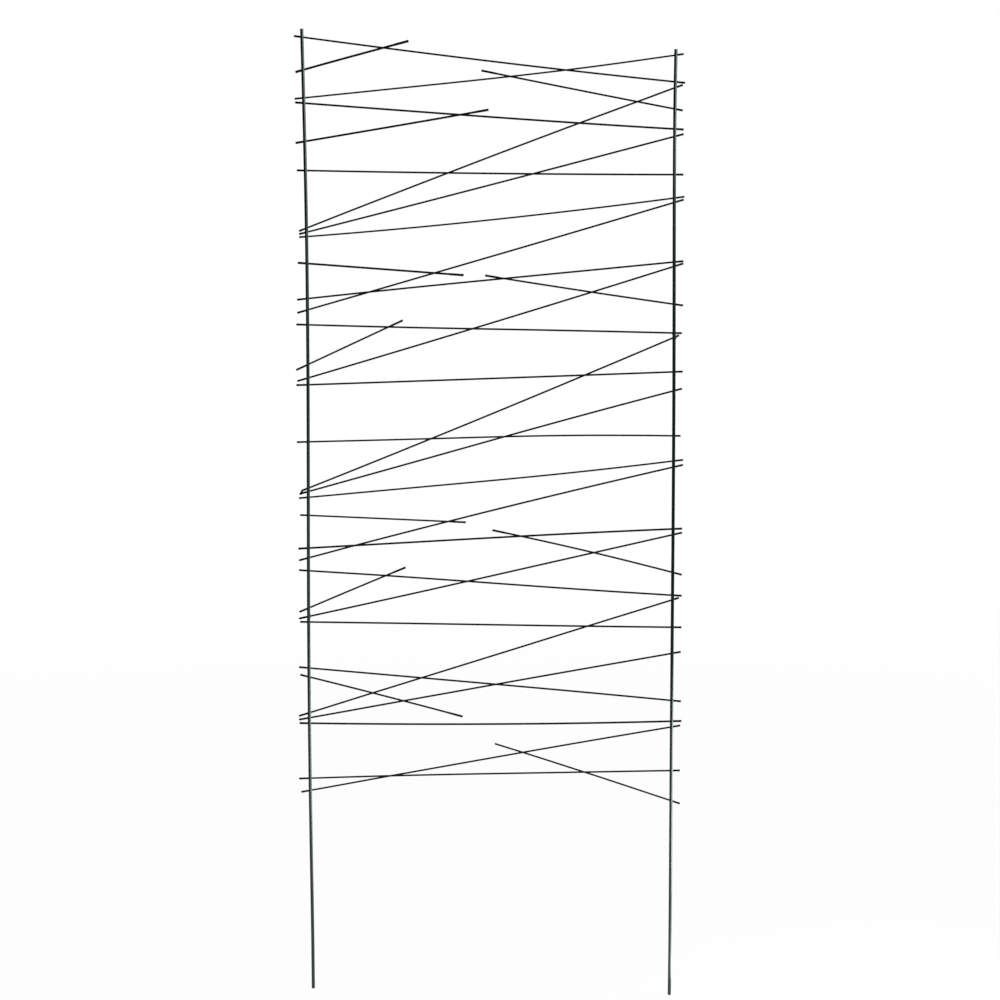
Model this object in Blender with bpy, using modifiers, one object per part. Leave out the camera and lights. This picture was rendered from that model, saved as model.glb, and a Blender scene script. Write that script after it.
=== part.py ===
"""Metal trellis: two upright rods with long and short wires welded across their backs.

Metres, +Z up. The origin lies midway between the lines of the two rods, level with their feet.
The rods stand in the plane y = 0, the front of the trellis faces -Y, and the wires lie behind
the rods, towards +Y.
"""

import math
from dataclasses import dataclass, field

import bmesh
import bpy
import numpy as np

# Upright rods
TRELLIS_HEIGHT = 1.829       # the left rod, from its foot to its top
ROD_SPACING = 0.690          # between the rods' lines, if both were straight
ROD_DIAMETER = 0.006
ROD_SIDES = 24
ROD_EDGE = 0.0007            # rounded edge of each cut end
ROD_EDGE_STEPS = 3
ROD_STEP = 0.090             # longest straight piece of a rod
RIGHT_TOP = 0.010            # right rod above its highest wire

# Rods as long and thin as these are never quite straight. Each number is how far the rod's
# centre lies to the right of its line, at equal steps from its foot to its top.
LEFT_SWAY = [0.0016, -0.0006, -0.0009, 0.0016, 0.0017, -0.0037]
RIGHT_SWAY = [-0.0008, 0.0001, 0.0005, 0.0009, -0.0004, 0.0006]

# Wires
WIRE_DIAMETER = 0.0032
WIRE_SIDES = 8
WELD_GAP = 0.0003            # kept between a wire and the rod that it is welded to
CROSS_GAP = 0.0003           # kept between two wires where they cross
BEND_STEPS = 6               # straight pieces in each bend round another wire
BOW_STEP = 0.070             # longest straight piece of a wire that is bowed up or down
SEARCH_STEPS = 200           # how finely two wires are searched for crossings

# The wires are laid in the order of the four lists below, and each one passes behind every
# wire that it crosses and that already lies there. A drop is measured down from the top of
# the left rod, where the wire crosses a rod's line. The lift is how far the middle of a wire
# stands above a straight line between its ends. It is negative where the wire sags. The swing
# lifts the left half of a long wire and lowers its right half by as much.

# Long wires laid first: number from the top, drop on the left rod, drop on the right rod,
# tip past the left rod, tip past the right rod, lift, swing
FIRST_LONG_WIRES = [
    (1, 0.0150, 0.1030, 0.019, 0.018, -0.0027, 0.0001),
    (3, 0.1360, 0.1890, 0.018, 0.016, -0.0015, 0.0002),
    (4, 0.2605, 0.2725, 0.016, 0.016, -0.0016, 0.0000),
    (7, 0.3835, 0.3155, 0.013, 0.018, -0.0048, -0.0001),
    (8, 0.4995, 0.4335, 0.018, 0.017, 0.0010, 0.0003),
    (11, 0.6490, 0.4415, 0.019, 0.017, -0.0017, 0.0001),
    (12, 0.6615, 0.6375, 0.021, 0.017, -0.0003, 0.0000),
    (13, 0.7695, 0.7570, 0.021, 0.014, 0.0034, -0.0011),
    (16, 0.8750, 0.8045, 0.018, 0.019, -0.0027, 0.0007),
    (17, 0.9720, 0.9325, 0.020, 0.018, 0.0013, -0.0003),
    (20, 1.1030, 0.9435, 0.020, 0.018, -0.0008, -0.0002),
    (21, 1.1140, 1.1190, 0.018, 0.018, -0.0002, 0.0002),
    (22, 1.2030, 1.2590, 0.021, 0.018, 0.0008, -0.0002),
    (25, 1.3100, 1.2990, 0.021, 0.019, -0.0035, 0.0001),
    (26, 1.4170, 1.3940, 0.023, 0.017, 0.0014, 0.0004),
]

# Short wires laid first: number from the top, rod, drop on the rod, tip past the rod,
# reach from the rod to the free end, drop of the free end, lift
FIRST_SHORT_WIRES = [
    (2, "right", 0.1525, 0.014, 0.359, 0.0790, -0.0005),
    (4, "left", 0.4335, 0.016, 0.297, 0.4565, 0.0000),
    (6, "left", 0.6240, 0.021, 0.182, 0.5405, 0.0001),
    (7, "left", 0.9095, 0.016, 0.300, 0.9215, 0.0001),
    (9, "left", 1.0865, 0.019, 0.185, 1.0080, 0.0003),
    (10, "left", 1.2205, 0.019, 0.293, 1.2940, 0.0008),
]

# Long wires laid over the first ones, in the same columns
LATER_LONG_WIRES = [
    (2, 0.1260, 0.0545, 0.019, 0.015, -0.0035, 0.0007),
    (5, 0.3680, 0.1135, 0.013, 0.014, 0.0030, -0.0001),
    (6, 0.3755, 0.2025, 0.013, 0.016, -0.0006, -0.0001),
    (9, 0.5210, 0.3235, 0.018, 0.017, -0.0005, 0.0002),
    (10, 0.5485, 0.5650, 0.020, 0.015, -0.0003, -0.0004),
    (14, 0.8575, 0.5735, 0.013, 0.010, -0.0025, 0.0000),
    (15, 0.8640, 0.6730, 0.017, 0.016, 0.0013, -0.0005),
    (18, 0.9905, 0.8160, 0.019, 0.019, 0.0031, -0.0001),
    (19, 1.0155, 1.0580, 0.019, 0.018, -0.0004, 0.0005),
    (23, 1.2890, 1.0670, 0.022, 0.013, -0.0005, 0.0000),
    (24, 1.2990, 1.1690, 0.022, 0.017, 0.0000, -0.0002),
    (27, 1.4405, 1.3100, 0.019, 0.017, 0.0007, -0.0004),
]

# Short wires laid over the first ones, in the same columns
LATER_SHORT_WIRES = [
    (1, "left", 0.0740, 0.017, 0.195, 0.0230, 0.0005),
    (3, "left", 0.2065, 0.018, 0.344, 0.1505, -0.0003),
    (5, "right", 0.5115, 0.017, 0.353, 0.4570, -0.0008),
    (8, "right", 1.0145, 0.018, 0.340, 0.9365, 0.0022),
    (11, "right", 1.4520, 0.017, 0.336, 1.3470, 0.0009),
]

ROD_COLOUR = (0.016, 0.023, 0.020, 1.0)
WIRE_COLOUR = (0.010, 0.014, 0.012, 1.0)
COAT_ROUGHNESS = 0.38
COAT_METALLIC = 0.0
SMOOTH_ANGLE = math.radians(40)

LEFT_LINE = -ROD_SPACING / 2
RIGHT_LINE = ROD_SPACING / 2
WIRE_PLANE = ROD_DIAMETER / 2 + WELD_GAP + WIRE_DIAMETER / 2
CROSS_PITCH = WIRE_DIAMETER + CROSS_GAP


@dataclass
class Rod:
    """An upright rod, which stands on its foot beside its line."""

    name: str
    line: float
    length: float
    sway: list

    def centre(self, z):
        """The rod's centre along x at height z: one smooth curve through the numbers of its sway."""
        steps = np.linspace(0, self.length, len(self.sway))
        curve = np.polyfit(steps, self.sway, len(steps) - 1)
        return self.line + float(np.polyval(curve, z))


@dataclass
class Wire:
    """One wire, running from left to right. Its ends are a rod's line or a free end."""

    name: str
    left_x: float
    left_z: float
    right_x: float
    right_z: float
    left_tip: float
    right_tip: float
    lift: float
    swing: float
    welds: list
    knots: list = field(default_factory=list)

    def height(self, x):
        """Height of the wire's centre at x.

        It is a straight line between the wire's ends, plus the lift as a parabola, plus the
        swing as one full turn of a sine.
        """
        share = (x - self.left_x) / (self.right_x - self.left_x)
        straight = self.left_z + (self.right_z - self.left_z) * share
        bow = 4 * self.lift * share * (1 - share)
        return straight + bow + self.swing * math.sin(2 * math.pi * share)

    def set_back(self, x):
        """How far the wire lies behind the plane of the first wires.

        The wire holds still at each knot, a weld or a crossing, and bends between two knots
        as a beam with fixed ends does.
        """
        before = [knot for knot in self.knots if knot[0] <= x]
        after = [knot for knot in self.knots if knot[0] > x]
        if not before:
            return after[0][1]
        if not after:
            return before[-1][1]
        (x0, back0), (x1, back1) = before[-1], after[0]
        share = (x - x0) / (x1 - x0)
        return back0 + (back1 - back0) * share * share * (3 - 2 * share)

    def from_x(self):
        return self.left_x - self.left_tip

    def to_x(self):
        return self.right_x + self.right_tip


def clear_scene():
    for obj in list(bpy.data.objects):
        bpy.data.objects.remove(obj, do_unlink=True)


def coat(name, colour):
    """The powder coat, a dark green-black with a low sheen."""
    material = bpy.data.materials.new(name)
    material.use_nodes = True
    shader = material.node_tree.nodes["Principled BSDF"]
    shader.inputs["Base Color"].default_value = colour
    shader.inputs["Roughness"].default_value = COAT_ROUGHNESS
    shader.inputs["Metallic"].default_value = COAT_METALLIC
    material.diffuse_color = colour
    return material


def both_rods():
    """The left rod, and the right one, which ends a little above the highest wire on it."""
    drops = [row[2] for row in FIRST_LONG_WIRES + LATER_LONG_WIRES]
    drops += [row[2] for row in FIRST_SHORT_WIRES + LATER_SHORT_WIRES if row[1] == "right"]
    right_length = TRELLIS_HEIGHT - min(drops) + RIGHT_TOP
    left = Rod("left_upright", LEFT_LINE, TRELLIS_HEIGHT, LEFT_SWAY)
    right = Rod("right_upright", RIGHT_LINE, right_length, RIGHT_SWAY)
    return left, right


def long_wire(row, left, right):
    """A wire that crosses both rods."""
    number, left_drop, right_drop, left_tip, right_tip, lift, swing = row
    left_z = TRELLIS_HEIGHT - left_drop
    right_z = TRELLIS_HEIGHT - right_drop
    return Wire(
        name=f"cross_wire_{number:02d}",
        left_x=LEFT_LINE,
        left_z=left_z,
        right_x=RIGHT_LINE,
        right_z=right_z,
        left_tip=left_tip,
        right_tip=right_tip,
        lift=lift,
        swing=swing,
        welds=[left.centre(left_z), right.centre(right_z)],
    )


def short_wire(row, left, right):
    """A wire that is welded to one rod and ends free inside the panel."""
    number, side, rod_drop, rod_tip, reach, free_drop, lift = row
    name = f"short_wire_{number:02d}"
    rod_z = TRELLIS_HEIGHT - rod_drop
    free_z = TRELLIS_HEIGHT - free_drop
    if side == "left":
        free_x = LEFT_LINE + reach
        welds = [left.centre(rod_z)]
        return Wire(name, LEFT_LINE, rod_z, free_x, free_z, rod_tip, 0.0, lift, 0.0, welds)
    free_x = RIGHT_LINE - reach
    welds = [right.centre(rod_z)]
    return Wire(name, free_x, free_z, RIGHT_LINE, rod_z, 0.0, rod_tip, lift, 0.0, welds)


def crossings(wire, other):
    """Where two wires cross, seen from the front."""
    start = max(wire.from_x(), other.from_x())
    end = min(wire.to_x(), other.to_x())
    if end <= start:
        return []
    step = (end - start) / SEARCH_STEPS
    places = [start + index * step for index in range(SEARCH_STEPS + 1)]
    apart = [wire.height(x) - other.height(x) for x in places]
    found = []
    for x, gap, next_gap in zip(places, apart, apart[1:]):
        if gap * next_gap < 0:
            found.append(x + step * gap / (gap - next_gap))
    return found


def lay(wire, laid):
    """Puts a wire against its rods and behind each wire that it crosses."""
    knots = [(x, 0.0) for x in wire.welds]
    for other in laid:
        for x in crossings(wire, other):
            knots.append((x, other.set_back(x) + CROSS_PITCH))
    wire.knots = sorted(knots)
    laid.append(wire)


def all_wires(left, right):
    """Every wire, laid in order."""
    ordered = [long_wire(row, left, right) for row in FIRST_LONG_WIRES]
    ordered += [short_wire(row, left, right) for row in FIRST_SHORT_WIRES]
    ordered += [long_wire(row, left, right) for row in LATER_LONG_WIRES]
    ordered += [short_wire(row, left, right) for row in LATER_SHORT_WIRES]
    laid = []
    for wire in ordered:
        lay(wire, laid)
    return laid


def stations(wire):
    """The places along x where the wire's centre line has a point."""
    stops = [wire.from_x()] + [x for x, _ in wire.knots] + [wire.to_x()]
    stops = sorted(set(stops))
    places = [stops[0]]
    for x0, x1 in zip(stops, stops[1:]):
        pieces = 1
        if wire.lift or wire.swing:
            pieces = math.ceil((x1 - x0) / BOW_STEP)
        if wire.set_back(x0) != wire.set_back(x1):
            pieces = max(pieces, BEND_STEPS)
        places += [x0 + (x1 - x0) * step / pieces for step in range(1, pieces + 1)]
    return places


def build_wire(wire, material, collection):
    """A round wire along its centre line, cut square at both ends."""
    places = stations(wire)
    curve = bpy.data.curves.new(wire.name, "CURVE")
    curve.dimensions = "3D"
    curve.bevel_depth = WIRE_DIAMETER / 2
    curve.bevel_resolution = WIRE_SIDES // 2 - 2
    curve.use_fill_caps = True
    spline = curve.splines.new("POLY")
    spline.points.add(len(places) - len(spline.points))
    for point, x in zip(spline.points, places):
        point.co = (x, WIRE_PLANE + wire.set_back(x), wire.height(x), 1.0)
    spline.use_smooth = True
    curve.materials.append(material)
    collection.objects.link(bpy.data.objects.new(wire.name, curve))


def cut_level(shape, z):
    """Adds a ring of points round a shape at height z."""
    everything = [*shape.verts, *shape.edges, *shape.faces]
    bmesh.ops.bisect_plane(shape, geom=everything, plane_co=(0, 0, z), plane_no=(0, 0, 1))


def build_rod(rod, material, collection):
    """A solid round rod whose rings follow its sway, with the edge of each cut end rounded."""
    shape = bmesh.new()
    bmesh.ops.create_cone(
        shape,
        cap_ends=True,
        segments=ROD_SIDES,
        radius1=ROD_DIAMETER / 2,
        radius2=ROD_DIAMETER / 2,
        depth=rod.length,
    )
    bmesh.ops.translate(shape, vec=(0.0, 0.0, rod.length / 2), verts=shape.verts)
    pieces = math.ceil(rod.length / ROD_STEP)
    for step in range(1, pieces):
        cut_level(shape, rod.length * step / pieces)
    for vert in shape.verts:
        vert.co.x += rod.centre(vert.co.z) - rod.line
    mesh = bpy.data.meshes.new(rod.name)
    shape.to_mesh(mesh)
    shape.free()
    mesh.shade_smooth()
    mesh.set_sharp_from_angle(angle=SMOOTH_ANGLE)
    mesh.materials.append(material)
    obj = bpy.data.objects.new(rod.name, mesh)
    obj.location = (rod.line, 0.0, 0.0)
    edge = obj.modifiers.new("Cut edge", "BEVEL")
    edge.width = ROD_EDGE
    edge.segments = ROD_EDGE_STEPS
    edge.limit_method = "ANGLE"
    collection.objects.link(obj)


def main():
    clear_scene()
    trellis = bpy.data.collections.new("metal_trellis")
    bpy.context.scene.collection.children.link(trellis)
    rod_coat = coat("rod_coat", ROD_COLOUR)
    wire_coat = coat("wire_coat", WIRE_COLOUR)

    left, right = both_rods()
    build_rod(left, rod_coat, trellis)
    build_rod(right, rod_coat, trellis)
    for wire in all_wires(left, right):
        build_wire(wire, wire_coat, trellis)


main()
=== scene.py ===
import math

import bpy
import numpy as np
from mathutils import Matrix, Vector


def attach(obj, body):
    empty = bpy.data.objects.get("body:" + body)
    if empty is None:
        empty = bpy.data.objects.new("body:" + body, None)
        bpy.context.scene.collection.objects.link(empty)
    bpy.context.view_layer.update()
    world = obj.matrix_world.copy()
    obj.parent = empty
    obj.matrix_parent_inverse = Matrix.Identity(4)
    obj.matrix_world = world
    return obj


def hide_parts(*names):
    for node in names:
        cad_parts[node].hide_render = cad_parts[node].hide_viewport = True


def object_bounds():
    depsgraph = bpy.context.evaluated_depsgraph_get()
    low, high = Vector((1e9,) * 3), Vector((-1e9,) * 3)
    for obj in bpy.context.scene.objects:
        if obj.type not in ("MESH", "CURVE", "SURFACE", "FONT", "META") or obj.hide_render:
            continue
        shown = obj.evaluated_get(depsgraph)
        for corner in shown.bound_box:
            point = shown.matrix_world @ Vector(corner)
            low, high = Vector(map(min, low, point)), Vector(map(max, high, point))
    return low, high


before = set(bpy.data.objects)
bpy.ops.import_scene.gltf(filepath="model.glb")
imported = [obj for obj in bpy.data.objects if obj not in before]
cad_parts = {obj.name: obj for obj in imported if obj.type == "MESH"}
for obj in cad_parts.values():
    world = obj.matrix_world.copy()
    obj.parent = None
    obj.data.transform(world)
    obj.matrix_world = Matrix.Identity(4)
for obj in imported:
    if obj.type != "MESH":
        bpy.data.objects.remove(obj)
cadBox = [list(corner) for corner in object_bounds()]
rodNodes = ["left_upright", "right_upright"]
wireNodes = sorted(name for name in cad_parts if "_wire_" in name)
print("frame loaded:", len(rodNodes), "rods and", len(wireNodes), "wires")


# Camera

camera = {
    "place": (0.2183, -3.4834, 1.2270),    # m
    "turn": 3.257,                         # degrees to the left of straight ahead
    "tilt": -4.531,                        # degrees, negative looks down
    "roll": -0.060,                        # degrees
    "lens": 66.76,                         # mm
    "sensor": 36,                          # mm wide
}


def makeCamera(look):
    data = bpy.data.cameras.new("camera")
    data.sensor_width = look["sensor"]
    data.lens = look["lens"]
    eye = bpy.data.objects.new("camera", data)
    bpy.context.scene.collection.objects.link(eye)
    turn = Matrix.Rotation(math.radians(look["turn"]), 4, "Z")
    tilt = Matrix.Rotation(math.radians(90 + look["tilt"]), 4, "X")
    roll = Matrix.Rotation(math.radians(look["roll"]), 4, "Z")
    eye.matrix_world = Matrix.Translation(look["place"]) @ turn @ tilt @ roll
    bpy.context.scene.camera = eye


makeCamera(camera)


# Materials

# A number that runs through a material. Arithmetic on it adds Math nodes.
class Signal:
    def __init__(self, finish, socket):
        self.finish = finish
        self.socket = socket

    def maths(self, operation, *terms):
        return self.finish.node("ShaderNodeMath", {"operation": operation}, dict(enumerate(terms)))

    def __add__(self, other):
        return self.maths("ADD", self, other)

    def __radd__(self, other):
        return self.maths("ADD", other, self)

    def __sub__(self, other):
        return self.maths("SUBTRACT", self, other)

    def __rsub__(self, other):
        return self.maths("SUBTRACT", other, self)

    def __mul__(self, other):
        return self.maths("MULTIPLY", self, other)

    def __rmul__(self, other):
        return self.maths("MULTIPLY", other, self)

    def within(self, low, high):
        return self.finish.node(
            "ShaderNodeMapRange",
            {"interpolation_type": "SMOOTHSTEP"},
            {"Value": self, "From Min": low, "From Max": high},
        )


# A material or a world with its nodes. node() makes any node: its type, its settings, then its inputs.
class Finish:
    def __init__(self, owner):
        owner.use_nodes = True
        self.owner = owner
        self.tree = owner.node_tree

    def node(self, kind, settings, inputs, output=0):
        made = self.tree.nodes.new(kind)
        for name, value in settings.items():
            setattr(made, name, value)
        for name, value in inputs.items():
            self.feed(made.inputs[name], value)
        return Signal(self, made.outputs[output]) if made.outputs else None

    def feed(self, socket, value):
        if isinstance(value, Signal):
            self.tree.links.new(value.socket, socket)
        else:
            socket.default_value = value

    def place(self):
        return self.node("ShaderNodeTexCoord", {}, {}, "Object")

    def noise(self, where, size, detail=2.0, roughness=0.5):
        inputs = {"Vector": where, "Scale": 1 / size, "Detail": detail, "Roughness": roughness}
        return self.node("ShaderNodeTexNoise", {}, inputs)

    # The colours of a Mix node are its inputs 6 and 7 and its output 2.
    def mixColour(self, share, first, second):
        inputs = {"Factor": share, 6: first, 7: second}
        return self.node("ShaderNodeMix", {"data_type": "RGBA"}, inputs, 2)


coats = {
    "rod_coat": {
        "colour": (0.004, 0.012, 0.009, 1),       # the coat where it lies thick
        "paleColour": (0.007, 0.021, 0.017, 1),   # where it lies thin or holds dust
        "cloudSize": 0.22,                        # m, slow change of shade along a bar
        "peelSize": 0.0011,                       # m, orange peel of the powder
        "peelHeight": 0.000022,
        "speckSize": 0.0007,                      # m, grains in the powder
        "roughness": 0.20,
        "specular": 0.60,
        "tint": (0.86, 1, 0.95, 1),               # of what it reflects
    },
    "wire_coat": {
        "colour": (0.002, 0.004, 0.003, 1),
        "paleColour": (0.004, 0.008, 0.006, 1),
        "cloudSize": 0.16,
        "peelSize": 0.0009,
        "peelHeight": 0.000018,
        "speckSize": 0.0006,
        "roughness": 0.50,
        "specular": 0.10,
        "tint": (1, 1, 1, 1),
    },
}


# What both coats share: between which values of the noise a pattern fades in, how far each pattern moves the
# colour towards the pale one, and how much duller it makes the coat.
coatPattern = {
    "cloudEdges": (0.35, 0.68),
    "grainEdges": (0.66, 0.74),
    "dustEdges": (0.42, 0.70),
    "dustSize": 0.012,          # m
    "dustSlope": (0.2, 1.0),    # dust lies where the surface looks up
    "cloudShare": 0.55,
    "grainShare": 0.50,
    "dustShare": 0.35,
    "thinShare": 0.60,
    "allPale": 1.3,             # sum of the shares at which the colour is the pale one
    "cloudDull": 0.05,
    "dustDull": 0.12,
    "thinDull": 0.10,
}


# Powder coat: two dark green-blacks clouded together, fine pale grains, a bump of orange peel, and a thin,
# duller coat where the mesh attribute "thin" says that the powder has drawn back from a cut edge.
def makeCoat(name, look, pattern):
    finish = Finish(bpy.data.materials.new(name))
    shader = finish.tree.nodes["Principled BSDF"]
    where = finish.place()
    clouds = finish.noise(where, look["cloudSize"], detail=3).within(*pattern["cloudEdges"])
    peel = finish.noise(where, look["peelSize"], detail=2, roughness=0.55)
    grains = finish.noise(where, look["speckSize"], detail=1).within(*pattern["grainEdges"])
    facing = finish.node("ShaderNodeNewGeometry", {}, {}, "Normal")
    upward = finish.node("ShaderNodeSeparateXYZ", {}, {"Vector": facing}, "Z")
    thin = finish.node("ShaderNodeAttribute", {"attribute_name": "thin"}, {}, "Fac")
    dustClouds = finish.noise(where, pattern["dustSize"], detail=4).within(*pattern["dustEdges"])
    dust = upward.within(*pattern["dustSlope"]) * dustClouds
    pale = clouds * pattern["cloudShare"] + grains * pattern["grainShare"]
    pale = pale + dust * pattern["dustShare"] + thin * pattern["thinShare"]
    base = finish.mixColour(pale.within(0.0, pattern["allPale"]), look["colour"], look["paleColour"])
    finish.feed(shader.inputs["Base Color"], base)
    gloss = look["roughness"] + clouds * pattern["cloudDull"]
    gloss = gloss + dust * pattern["dustDull"] + thin * pattern["thinDull"]
    finish.feed(shader.inputs["Roughness"], gloss)
    bump = {"Height": peel, "Strength": 1.0, "Distance": look["peelHeight"]}
    finish.feed(shader.inputs["Normal"], finish.node("ShaderNodeBump", {}, bump))
    shader.inputs["Specular IOR Level"].default_value = look["specular"]
    shader.inputs["Specular Tint"].default_value = look["tint"]
    finish.owner.diffuse_color = look["colour"]
    return finish.owner


materials = {name: makeCoat(name, look, coatPattern) for name, look in coats.items()}
for name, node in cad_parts.items():
    node.data.materials[0] = materials["rod_coat" if name in rodNodes else "wire_coat"]
print("coats made")


# Surfaces

# Gathers closed surfaces, each a grid of rings, and makes them one mesh. A ring closes on itself, and a fan
# of triangles round the middle of the first and the last ring closes the two ends.
class Surface:
    def __init__(self):
        self.points = []
        self.thin = []
        self.faces = []
        self.count = 0

    def add(self, rings, thin=None):
        rows, sides = rings.shape[:2]
        corner = self.count + np.arange(rows * sides).reshape(rows, sides)
        nextCorner = np.roll(corner, -1, axis=1)
        quads = np.stack([corner[:-1], nextCorner[:-1], nextCorner[1:], corner[1:]], axis=-1)
        first = self.count + rows * sides
        start = np.stack([nextCorner[0], corner[0], np.full(sides, first)], axis=-1)
        end = np.stack([corner[-1], nextCorner[-1], np.full(sides, first + 1)], axis=-1)
        self.faces += quads.reshape(-1, 4).tolist() + start.tolist() + end.tolist()
        middles = np.stack([rings[0].mean(axis=0), rings[-1].mean(axis=0)])
        self.points += [rings.reshape(-1, 3), middles]
        rowThin = np.zeros(rows) if thin is None else thin
        self.thin += [np.repeat(rowThin, sides), rowThin[[0, -1]]]
        self.count = first + 2

    def piece(self, name, slot, nodes=()):
        mesh = bpy.data.meshes.new(name)
        mesh.from_pydata(np.concatenate(self.points), [], self.faces)
        thin = mesh.attributes.new("thin", "FLOAT", "POINT")
        thin.data.foreach_set("value", np.concatenate(self.thin).astype(np.float32))
        mesh.shade_smooth()
        mesh.materials.append(materials[slot])
        made = bpy.data.objects.new(name, mesh)
        bpy.context.scene.collection.objects.link(made)
        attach(made, "root")
        if nodes:
            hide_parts(*nodes)


# Corners of a CAD node with their doubles merged, and the pairs of corners that an edge joins.
def mergedNode(name):
    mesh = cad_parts[name].data
    points = np.empty(len(mesh.vertices) * 3)
    mesh.vertices.foreach_get("co", points)
    pairs = np.empty(len(mesh.edges) * 2, int)
    mesh.edges.foreach_get("vertices", pairs)
    micron = 1e-6
    merged, which = np.unique(np.round(points.reshape(-1, 3) / micron), axis=0, return_inverse=True)
    return merged * micron, which.ravel()[pairs.reshape(-1, 2)]


# Centre of each ring of a CAD bar, where ring says which ring each corner is on.
def ringMiddles(points, ring):
    counts = np.bincount(ring)
    return np.stack([np.bincount(ring, points[:, axis]) / counts for axis in range(3)], axis=1)


# A rod's rings are level, so the corners at one height are one ring.
def rodMiddles(name):
    points, _ = mergedNode(name)
    return ringMiddles(points, np.unique(points[:, 2].round(5), return_inverse=True)[1].ravel())


# A wire's first ring is its cut end at the left, and each step along the mesh's edges reaches the next one.
def wireMiddles(name, cadSides=8):
    points, pairs = mergedNode(name)
    ring = np.full(len(points), -1)
    ring[np.argsort(points[:, 0])[:cadSides]] = 0
    reached = 0
    while (ring < 0).any():
        touching = pairs[(ring[pairs] == reached).any(axis=1)]
        reached += 1
        ring[touching[ring[touching] < 0]] = reached
    return ringMiddles(points, ring)


# A smooth curve through points that never swings past them. The slope at a point is the weighted harmonic
# mean of the slopes on its two sides, or level where those differ in sign, and cubic Hermite pieces join
# the points.
def smoothThrough(x, y, at):
    step = np.diff(x)
    slope = np.diff(y) / step
    weightA = 2 * step[1:] + step[:-1]
    weightB = step[1:] + 2 * step[:-1]
    same = slope[1:] * slope[:-1] > 0
    before = np.where(same, slope[:-1], 1)
    after = np.where(same, slope[1:], 1)
    inner = np.where(same, (weightA + weightB) / (weightA / before + weightB / after), 0)
    tangent = np.concatenate([slope[:1], inner, slope[-1:]])
    piece = np.clip(np.searchsorted(x, at) - 1, 0, len(step) - 1)
    share = (at - x[piece]) / step[piece]
    rise = share * share * (3 - 2 * share)
    leave = share * (1 - share) ** 2 * step[piece]
    arrive = -share * share * (1 - share) * step[piece]
    straight = y[piece] + (y[piece + 1] - y[piece]) * rise
    return straight + tangent[piece] * leave + tangent[piece + 1] * arrive


# Points on the smooth curve through a bar's middles, at values of the axis that the bar runs along.
def alongBar(middles, along, values):
    columns = [smoothThrough(middles[:, along], middles[:, axis], values) for axis in range(3)]
    return np.stack(columns, axis=1)


# Unit vectors along the last axis.
def unit(vectors):
    return vectors / np.linalg.norm(vectors, axis=-1, keepdims=True)


# Smooth noise between -1 and 1 along a length: the mean of a few sines of random phase, each one shorter
# than the last.
def wander(length, size, seed, waves=5, shorter=0.61):
    random = np.random.default_rng(seed)
    total = np.zeros_like(length)
    for wave in range(waves):
        total += np.sin(length / size * (1 + shorter * wave) + random.uniform(0, 2 * math.pi)) / waves
    return total


# Places along a bar of the given length: close together near both ends, where its edge is rounded.
def endedPlaces(length, step, edge):
    edgeShares = [0, 0.03, 0.12, 0.28, 0.5, 0.74, 1.0, 1.5, 2.3, 3.5, 5.5]
    near = edge * np.array(edgeShares)
    middle = np.linspace(near[-1], length - near[-1], max(2, round(length / step)))
    return np.concatenate([near, middle[1:-1], length - near[::-1]])


# A round bar: point(s, a) = path(s) + radius(s) * (side(s) * cos a + up(s) * sin a), with side and up square
# to the path. Within one edge of an end the radius follows a quarter circle. The cut end leans by the slant,
# and the coat thickens the bar a little behind it. extraCoat gives more radius at each distance from the
# bar's start. Also gives how thin the coat is, the places along the axis, and the radius without its edge.
def barRings(middles, along, look, seed, extraCoat=None):
    fineSteps = 4000
    path = alongBar(middles, along, np.linspace(middles[0, along], middles[-1, along], fineSteps))
    run = np.concatenate([[0], np.cumsum(np.linalg.norm(np.diff(path, axis=0), axis=1))])
    places = endedPlaces(run[-1], look["step"], look["edge"])
    centre = np.stack([np.interp(places, run, path[:, axis]) for axis in range(3)], axis=1)
    ahead = unit(np.gradient(centre, places, axis=0))
    side = unit(np.cross(ahead, (0, -1, 0)))
    up = np.cross(ahead, side)
    fromEnd = np.minimum(places, run[-1] - places)
    inEdge = np.clip(1 - fromEnd / look["edge"], 0, 1)
    radius = look["diameter"] / 2 + look["coat"]
    radius = radius * (1 + look["unevenness"] * wander(places, look["waveSize"], seed))
    radius += look["bead"] * np.exp(-((fromEnd - look["beadSize"]) / look["beadSize"]) ** 2)
    if extraCoat:
        radius += extraCoat(places, run[-1])
    bareRadius = radius.copy()
    radius -= look["edge"] * (1 - np.sqrt(1 - inEdge**2))
    angle = np.linspace(0, 2 * math.pi, look["sides"], endpoint=False)[:, None]
    round2d = np.cos(angle) * side[:, None] + np.sin(angle) * up[:, None]
    lean = look["slant"] * np.random.default_rng(seed).uniform(-1, 1, 2)
    leanHere = np.where(places < run[-1] / 2, lean[0], lean[1]) * np.exp(-fromEnd / look["edge"] / 2)
    slide = radius[:, None] * np.cos(angle[:, 0] - seed) * leanHere[:, None]
    rings = centre[:, None] + radius[:, None, None] * round2d + slide[..., None] * ahead[:, None]
    thinPlace, thinWidth = look["edge"] * 0.3, look["edge"] * 0.5
    thin = np.exp(-((fromEnd - thinPlace) / thinWidth) ** 2)
    return rings, thin, centre[:, along], bareRadius


# Rods

rod = {
    "diameter": 0.006,
    "coat": 0.00016,         # thickness of the powder coat
    "sides": 40,
    "step": 0.006,           # between rings
    "edge": 0.0008,          # rounding of the cut ends
    "bead": 0.00004,         # how much thicker the coat is behind a cut edge
    "beadSize": 0.0016,
    "unevenness": 0.006,     # share of the radius
    "waveSize": 0.018,
    "slant": 0.0,            # the rods are cut square
    "seed": 101,
}

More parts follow.
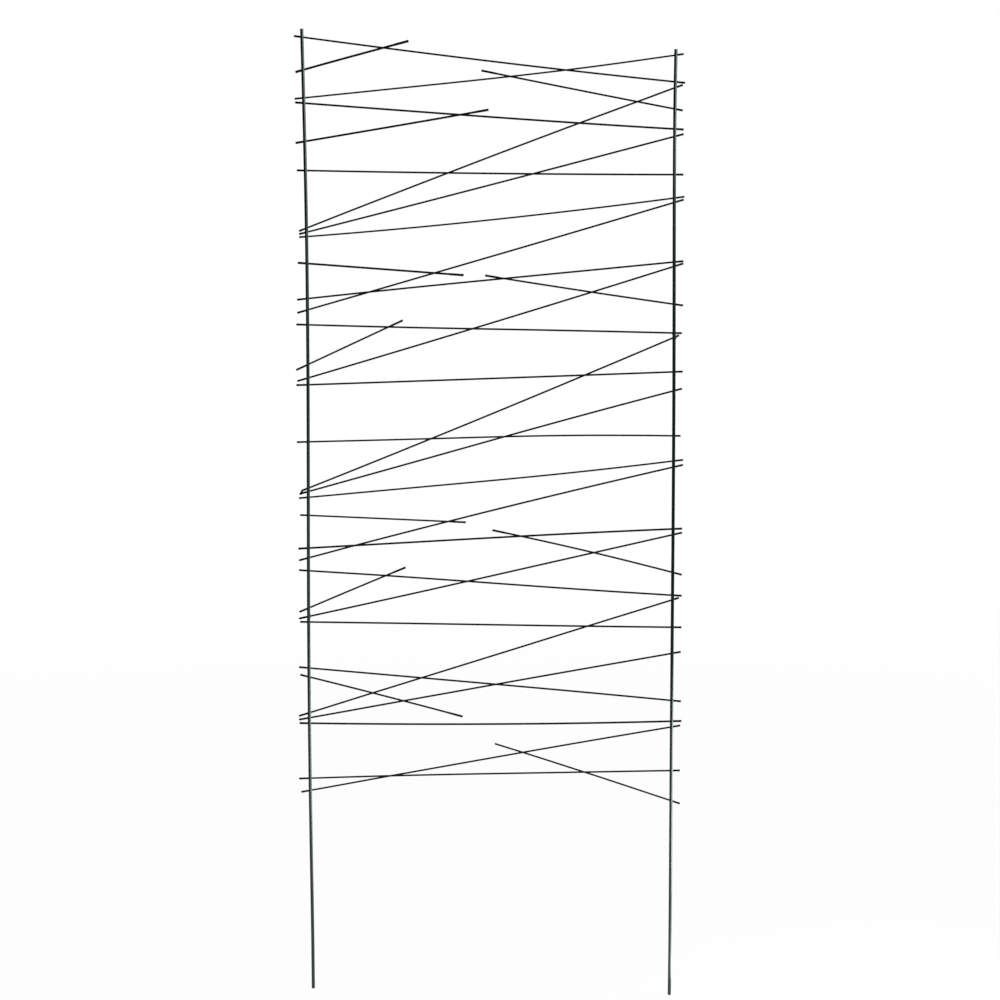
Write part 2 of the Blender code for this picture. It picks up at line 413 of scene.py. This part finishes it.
rodPaths = {}
for number, name in enumerate(rodNodes):
    rodPaths[name] = rodMiddles(name)
    surface = Surface()
    rings, thin, _, _ = barRings(rodPaths[name], 2, rod, rod["seed"] + number)
    surface.add(rings, thin)
    surface.piece(name.replace("upright", "rod"), "rod_coat", [name])
print("rods made")


# Wires

wire = {
    "diameter": 0.0032,
    "coat": 0.00013,
    "sides": 20,
    "step": 0.004,
    "edge": 0.00045,
    "bead": 0.00008,         # the coat gathers at a sheared end
    "beadSize": 0.0020,
    "unevenness": 0.010,
    "waveSize": 0.011,
    "slant": 0.16,           # how far a sheared end leans, as a share of its width
    "seed": 11,
    "longestStub": 0.03,     # an end further than this from both rods is a free end
    "stubCoat": 0.00024,     # m more radius on the stub past a rod, where the powder lies thicker
    "freeCoat": 0.00030,     # and at the free end of a short wire
    "deepCoat": 0.00004,     # less at a free end that lies furthest back, at the edge of the CAD box
    "deepWires": ["short_wire_11"],
    "freeLength": 0.026,
    "fade": 0.005,           # over which the thicker coat runs out
    # wires that are thicker or thinner than the rest all along, in m of radius. The thicker ones have more
    # coat.
    # The thinner ones are made narrower to stand in for a highlight that pales them: a painted highlight
    # made by a narrower wire.
    "coats": {
        "short_wire_01": 0.00034,
        "short_wire_03": 0.00022,
        "short_wire_04": 0.00022,
        "cross_wire_03": 0.00012,
        "cross_wire_17": 0.00012,
        "cross_wire_25": 0.00010,
        "cross_wire_02": -0.00012,
        "cross_wire_07": -0.00012,
        "cross_wire_13": -0.00010,
        "cross_wire_16": -0.00010,
        "cross_wire_26": -0.00010,
        "cross_wire_27": -0.00008,
        "short_wire_07": -0.00010,
        "short_wire_11": -0.00010,
    },
}


# How far the thicker coat reaches from an end of a wire, and how much thicker it is there.
def endCoat(name, endX, look):
    stubs = [abs(endX - path[:, 0].mean()) for path in rodPaths.values()]
    if min(stubs) < look["longestStub"]:
        return min(stubs), look["stubCoat"]
    return look["freeLength"], look["deepCoat" if name in look["deepWires"] else "freeCoat"]


# More radius along a wire: near each end the thicker coat times 1 / (1 + exp(4 * (s - reach) / fade)), with
# s the distance from that end, plus what the whole wire has.
def wireCoat(name, path, look):
    leftReach, leftMore = endCoat(name, path[0, 0], look)
    rightReach, rightMore = endCoat(name, path[-1, 0], look)

    def extra(places, length):
        left = leftMore / (1 + np.exp((places - leftReach) / look["fade"] * 4))
        right = rightMore / (1 + np.exp((length - places - rightReach) / look["fade"] * 4))
        return left + right + look["coats"].get(name, 0)

    return extra


wirePaths = {}
wireRadii = {}
for number, name in enumerate(wireNodes):
    wirePaths[name] = wireMiddles(name)
    surface = Surface()
    extra = wireCoat(name, wirePaths[name], wire)
    rings, thin, placesX, radii = barRings(wirePaths[name], 0, wire, wire["seed"] + number, extra)
    wireRadii[name] = (placesX, radii)
    surface.add(rings, thin)
    newName = name.replace("cross_wire", "long_wire").replace("short_wire", "free_wire")
    surface.piece(newName, "wire_coat", [name])
print("wires made")


# Welds

# The welds between a rod and a wire.
weld = {
    "fillet": 0.00055,       # softness of the join between two bars
    "reach": 0.0052,         # along the bars
    "depth": 0.0021,         # into the bars
    "lump": 0.00028,         # unevenness of the weld metal
    "lumpSize": 0.0013,
    "waves": 6,              # that make up the unevenness
    "swell": 0.4,            # how far the metal stands proud of the join, as a share of the lump
    "swellFade": 1.6,        # how soon swell and unevenness run out along the reach
    "crowding": 1.5,         # above 1 the rows of the mesh lie closer together round the contact point
    "rows": 22,
    "sides": 28,
    "seed": 300,
}

# The smaller ones between two wires.
tack = {
    **weld,
    "fillet": 0.00035,
    "reach": 0.0030,
    "depth": 0.0010,
    "lump": 0.00010,
    "lumpSize": 0.0010,
    "rows": 12,
    "sides": 18,
    "seed": 700,
}

rodRadius = rod["diameter"] / 2 + rod["coat"]


# A bar's centre and its direction where it passes a value of the axis that it runs along. The direction is
# taken from two points half a millimetre before and after.
def barAt(middles, along, value):
    points = alongBar(middles, along, value + np.array([-0.0005, 0, 0.0005]))
    return points[1], unit(points[2] - points[0])


# Centre, direction and radius of a rod at the height z.
def rodAt(name, z):
    return *barAt(rodPaths[name], 2, z), rodRadius


# The same for a wire at x.
def wireAt(name, x):
    return *barAt(wirePaths[name], 0, x), float(np.interp(x, *wireRadii[name]))


# Heights of a wire at each x.
def wireHeights(name, x):
    return smoothThrough(wirePaths[name][:, 0], wirePaths[name][:, 2], x)


# Weld metal between two crossing bars, a closed surface round their contact point. In each direction from
# there it ends where the soft union of the two bars ends, soft = -f * log(exp(-d1 / f) + exp(-d2 / f)) less
# the swell and its waves, with d1 and d2 the distances to the bars and f the fillet, found by halving. It
# goes no further than an ellipsoid, with the reach along the bars and the depth into them.
def weldRings(barA, barB, look, seed, halvings=18):
    pointA, aheadA, radiusA = barA
    pointB, aheadB, radiusB = barB
    towards = unit(pointB - pointA)
    contact = (pointA + towards * radiusA + pointB - towards * radiusB) / 2
    random = np.random.default_rng(seed)
    tall = np.linspace(-1, 1, look["rows"] + 2)[1:-1]
    tilt = (math.pi / 2 * np.sign(tall) * np.abs(tall) ** look["crowding"])[:, None]
    turn = np.linspace(0, 2 * math.pi, look["sides"], endpoint=False)[None, :]
    across = unit(np.cross(towards, aheadB))
    flat = np.cos(turn)[..., None] * across + np.sin(turn)[..., None] * np.cross(towards, across)
    ray = np.cos(tilt)[..., None] * flat + np.sin(tilt)[..., None] * towards
    bound = 1 / np.sqrt((np.cos(tilt) / look["reach"]) ** 2 + (np.sin(tilt) / look["depth"]) ** 2)
    bound = bound * np.ones_like(turn)
    waves = unit(random.normal(size=(look["waves"], 3))) / look["lumpSize"]
    phases = random.uniform(0, 2 * math.pi, look["waves"])

    def soft(length):
        here = contact + ray * length[..., None]
        d1 = np.linalg.norm(np.cross(here - pointA, aheadA), axis=-1) - radiusA
        d2 = np.linalg.norm(np.cross(here - pointB, aheadB), axis=-1) - radiusB
        lumps = np.sin((here - contact) @ waves.T + phases).mean(axis=-1)
        low = np.minimum(d1, d2)
        smooth = low - look["fillet"] * np.log1p(np.exp(-np.abs(d1 - d2) / look["fillet"]))
        fading = np.exp(-(length / look["reach"] * look["swellFade"]) ** 2)
        return smooth - look["lump"] * (look["swell"] + lumps) * fading

    near = np.zeros_like(bound)
    far = bound.copy()
    for halving in range(halvings):
        middle = (near + far) / 2
        inside = soft(middle) < 0
        near = np.where(inside, middle, near)
        far = np.where(inside, far, middle)
    return contact + ray * near[..., None]


# Where a wire passes behind a rod: the height on the rod is found by stepping from rod to wire and back.
def rodCrossing(rodName, wireName, rounds=6):
    x = rodPaths[rodName][0, 0]
    for step in range(rounds):
        z = float(wireHeights(wireName, np.array([x]))[0])
        x = float(rodAt(rodName, z)[0][0])
    return x, z


# Where two wires cross: each x at which the height of one above the other changes its sign, between two
# columns, as on a straight line from one column to the next.
def wireCrossings(name, other, columns):
    low = max(wirePaths[name][0, 0], wirePaths[other][0, 0])
    high = min(wirePaths[name][-1, 0], wirePaths[other][-1, 0])
    x = columns[(columns > low) & (columns < high)]
    apart = wireHeights(name, x) - wireHeights(other, x)
    index = np.nonzero(apart[1:] * apart[:-1] < 0)[0]
    share = apart[index] / (apart[index] - apart[index + 1])
    return x[index] + (x[index + 1] - x[index]) * share


weldCount = 0
for rodName in rodNodes:
    surface = Surface()
    for number, wireName in enumerate(wireNodes):
        x, z = rodCrossing(rodName, wireName)
        if not wirePaths[wireName][0, 0] < x < wirePaths[wireName][-1, 0]:
            continue
        surface.add(weldRings(rodAt(rodName, z), wireAt(wireName, x), weld, weld["seed"] + number))
        weldCount += 1
    surface.piece(rodName.replace("upright", "rod_welds"), "rod_coat")
print(weldCount, "welds on the rods")

surface = Surface()
tackCount = 0
columnCount = 1500
columns = np.linspace(cadBox[0][0], cadBox[1][0], columnCount)
for number, name in enumerate(wireNodes):
    for other in wireNodes[number + 1:]:
        for x in wireCrossings(name, other, columns):
            front, back = sorted([wireAt(name, x), wireAt(other, x)], key=lambda bar: bar[0][1])
            surface.add(weldRings(front, back, tack, tack["seed"] + tackCount))
            tackCount += 1
surface.piece("crossing_tacks", "wire_coat")
print(tackCount, "tacks where wires cross")


# Drops of coat and weld metal

drops = {
    # Where the photo shows more metal than a plain weld leaves: the rod, the wire, and how far the lump lies
    # to the right of the weld, behind the rods' plane and above the weld, then its radius, all in mm.
    "lumps": [
        ("right_upright", "cross_wire_10", -2.8, 1.6, -1.6, 1.5),
        ("right_upright", "cross_wire_10", 3.2, 2.6, -1.0, 1.5),
        ("right_upright", "cross_wire_14", 3.4, 2.6, -1.0, 1.7),
        ("left_upright", "cross_wire_20", 2.9, 1.8, -0.8, 1.5),
        ("left_upright", "cross_wire_20", 2.7, 1.6, 3.8, 1.2),
        ("left_upright", "short_wire_10", -2.8, 1.8, -0.6, 1.5),
        ("left_upright", "short_wire_10", 2.6, 1.8, -2.0, 1.3),
        ("left_upright", "cross_wire_01", -2.4, 1.8, 2.0, 1.2),
    ],
    "tallness": 1.3,         # height of a lump, as a share of its width
    "lumpSeed": 900,
    "bridge": ("cross_wire_14", "cross_wire_15"),   # the stubs that a run of coat joins
    "bridgeAt": 0.0004,      # m from the end of the shorter stub
    "bridgeSag": 0.0007,     # m below the middle between the two
    "bridgeSize": (0.0026, 0.0019, 0.0033),
    "bridgeSeed": 950,
    "unevenness": 0.10,
    "waves": 4,              # that make up the unevenness
    "waveRate": 2.5,         # how quickly they change round a drop
    "rows": 10,
    "sides": 16,
}


# An uneven drop: in each direction d from its centre, radius(d) = (1 + u * waves(d)) / length(d / size),
# with u the unevenness and waves the mean of a few sines of random direction.
def dropRings(centre, size, look, seed):
    random = np.random.default_rng(seed)
    tilt = np.linspace(-math.pi / 2, math.pi / 2, look["rows"] + 2)[1:-1, None]
    turn = np.linspace(0, 2 * math.pi, look["sides"], endpoint=False)[None, :]
    level = np.cos(tilt)
    ray = np.stack([level * np.cos(turn), level * np.sin(turn), np.sin(tilt) * np.ones_like(turn)], axis=-1)
    rates = look["waveRate"] * random.normal(size=(3, look["waves"]))
    phases = random.uniform(0, 2 * math.pi, look["waves"])
    waves = np.sin(ray @ rates + phases).mean(axis=-1)
    radius = (1 + look["unevenness"] * waves) / np.linalg.norm(ray / np.array(size), axis=-1)
    return centre + ray * radius[..., None]


mm = 0.001
surface = Surface()
for number, (rodName, wireName, right, back, up, radius) in enumerate(drops["lumps"]):
    x, z = rodCrossing(rodName, wireName)
    centre = np.array([x + right * mm, back * mm, z + up * mm])
    size = (radius * mm, radius * mm, drops["tallness"] * radius * mm)
    surface.add(dropRings(centre, size, drops, drops["lumpSeed"] + number))
surface.piece("weld_lumps", "rod_coat")

surface = Surface()
x = max(wirePaths[name][0, 0] for name in drops["bridge"]) + drops["bridgeAt"]
centre = np.mean([wireAt(name, x)[0] for name in drops["bridge"]], axis=0)
centre[2] -= drops["bridgeSag"]
surface.add(dropRings(centre, drops["bridgeSize"], drops, drops["bridgeSeed"]))
surface.piece("coat_bridge", "wire_coat")
print("drops made")


# Floor, world and lamps

studio = {
    "floorSize": 60.0,          # m across
    "floorColour": (0.82, 0.82, 0.82, 1),
    "floorWhite": 0.975,        # share of plain white in the floor round the feet
    "whiteFrom": 1.5,           # m from the middle, where the floor starts to turn plain white
    "whiteTo": 6.0,
    # Painted pool of light: round this place the floor glows white to glossy rays alone, and the coat shows
    # it as a painted reflection.
    "paintedPoolPlace": (0.7, -0.3, 0),   # middle of the part of the floor that the coat reflects
    "sheenFrom": 0.6,           # m from there, where its reflection starts to fade
    "sheenTo": 3.2,
    "behindFrom": 0.2,          # m behind the trellis, where the coat starts to reflect the floor again
    "behindTo": 1.5,
    "backFrom": 0.45,           # how straight back a ray points where the world starts to look white to it
    "backTo": 0.95,
    "ambient": 0.08,            # strength of the world as a light
    "dim": 0.02,                # what the coat reflects of the room in front of the trellis
}

# The high panel lights the whole trellis, and the others give the rods their sheen lower down and in front.
lamps = {
    "highPanel": {"place": (1.7, -0.9, 2.25), "aim": (0.0, -0.2, 2.15), "size": (2.6, 1.1), "watts": 46},
    "lowPanel": {"place": (1.1, -0.15, 0.2), "aim": (0.34, 0.0, 0.2), "size": (0.5, 0.4), "watts": 13},
    "floorGlow": {"place": (0.80, -0.02, 0.012), "aim": (0.80, -0.02, 1.0), "size": (0.8, 0.4), "watts": 6},
    "frontFill": {"place": (-0.20, -0.4, 0.85), "aim": (-0.345, 0.0, 0.85), "size": (0.12, 1.3),
                  "watts": 1.4, "colour": (0.88, 1.0, 0.96)},
}


# 1 for rays that a glossy or a clear surface sends on, 0 for the rest.
def isReflected(finish):
    glossy = finish.node("ShaderNodeLightPath", {}, {}, "Is Glossy Ray")
    sentOn = finish.node("ShaderNodeLightPath", {}, {}, "Is Transmission Ray")
    return glossy.maths("MAXIMUM", glossy, sentOn)


# The floor is pale and keeps the shadow near the feet, and further out it turns as white as the world. A
# glossy ray sees it white behind the trellis and in a painted pool of light round the bright place, and dim
# elsewhere.
def makeFloor(look):
    half = look["floorSize"] / 2
    mesh = bpy.data.meshes.new("floor")
    corners = [(-half, -half, 0), (half, -half, 0), (half, half, 0), (-half, half, 0)]
    mesh.from_pydata(corners, [], [(0, 1, 2, 3)])
    floor = bpy.data.objects.new("floor", mesh)
    bpy.context.scene.collection.objects.link(floor)
    finish = Finish(bpy.data.materials.new("floor"))
    finish.tree.nodes.clear()
    where = finish.place()
    radius = finish.node("ShaderNodeVectorMath", {"operation": "LENGTH"}, {0: where}, "Value")
    outer = radius.within(look["whiteFrom"], look["whiteTo"])
    seen = finish.node("ShaderNodeLightPath", {}, {}, "Is Camera Ray")
    reflected = isReflected(finish)
    depth = finish.node("ShaderNodeSeparateXYZ", {}, {"Vector": where}, "Y")
    behind = depth.within(look["behindFrom"], look["behindTo"])
    # Painted pool of light: near the bright place the floor glows white to glossy rays, and it is dim
    # elsewhere in front.
    bright = {"operation": "DISTANCE"}
    distanceFromPaintedPool = finish.node("ShaderNodeVectorMath", bright, {0: where, 1: look["paintedPoolPlace"]}, "Value")
    near = 1 - distanceFromPaintedPool.within(look["sheenFrom"], look["sheenTo"])
    sheen = look["dim"] + behind.maths("MAXIMUM", behind, near) * (1 - look["dim"])
    share = (look["floorWhite"] + outer * (1 - look["floorWhite"])) * seen + reflected
    diffuse = finish.node("ShaderNodeBsdfDiffuse", {}, {"Color": look["floorColour"]})
    strength = seen + reflected * sheen
    white = finish.node("ShaderNodeEmission", {}, {"Color": (1, 1, 1, 1), "Strength": strength})
    mixed = finish.node("ShaderNodeMixShader", {}, {"Fac": share, 1: diffuse, 2: white})
    finish.node("ShaderNodeOutputMaterial", {}, {"Surface": mixed})
    mesh.materials.append(finish.owner)


# White to the camera on every side. A glossy ray sees it white behind the trellis and dim in front of it.
def makeWorld(look):
    world = bpy.data.worlds.new("studio")
    bpy.context.scene.world = world
    finish = Finish(world)
    finish.tree.nodes.clear()
    towards = finish.node("ShaderNodeTexCoord", {}, {}, "Generated")
    depth = finish.node("ShaderNodeSeparateXYZ", {}, {"Vector": towards}, "Y")
    sheen = look["dim"] + depth.within(look["backFrom"], look["backTo"]) * (1 - look["dim"])
    seen = finish.node("ShaderNodeLightPath", {}, {}, "Is Camera Ray")
    reflected = isReflected(finish)
    strength = seen + reflected * sheen + (1 - seen) * (1 - reflected) * look["ambient"]
    background = finish.node("ShaderNodeBackground", {}, {"Color": (1, 1, 1, 1), "Strength": strength})
    finish.node("ShaderNodeOutputWorld", {}, {"Surface": background})


def makeLamp(name, look):
    data = bpy.data.lights.new(name, "AREA")
    data.shape = "RECTANGLE"
    data.size, data.size_y = look["size"]
    data.energy = look["watts"]
    data.color = look.get("colour", (1, 1, 1))
    lamp = bpy.data.objects.new(name, data)
    lamp.visible_camera = False
    bpy.context.scene.collection.objects.link(lamp)
    away = np.subtract(look["place"], look["aim"])
    turn = math.atan2(away[0], -away[1])
    tilt = math.atan2(math.hypot(away[0], away[1]), away[2])
    lamp.matrix_world = (
        Matrix.Translation(look["place"]) @ Matrix.Rotation(turn, 4, "Z") @ Matrix.Rotation(tilt, 4, "X")
    )


makeFloor(studio)
makeWorld(studio)
for name, look in lamps.items():
    makeLamp(name, look)
bpy.context.scene.view_settings.view_transform = "Standard"
print("studio made")
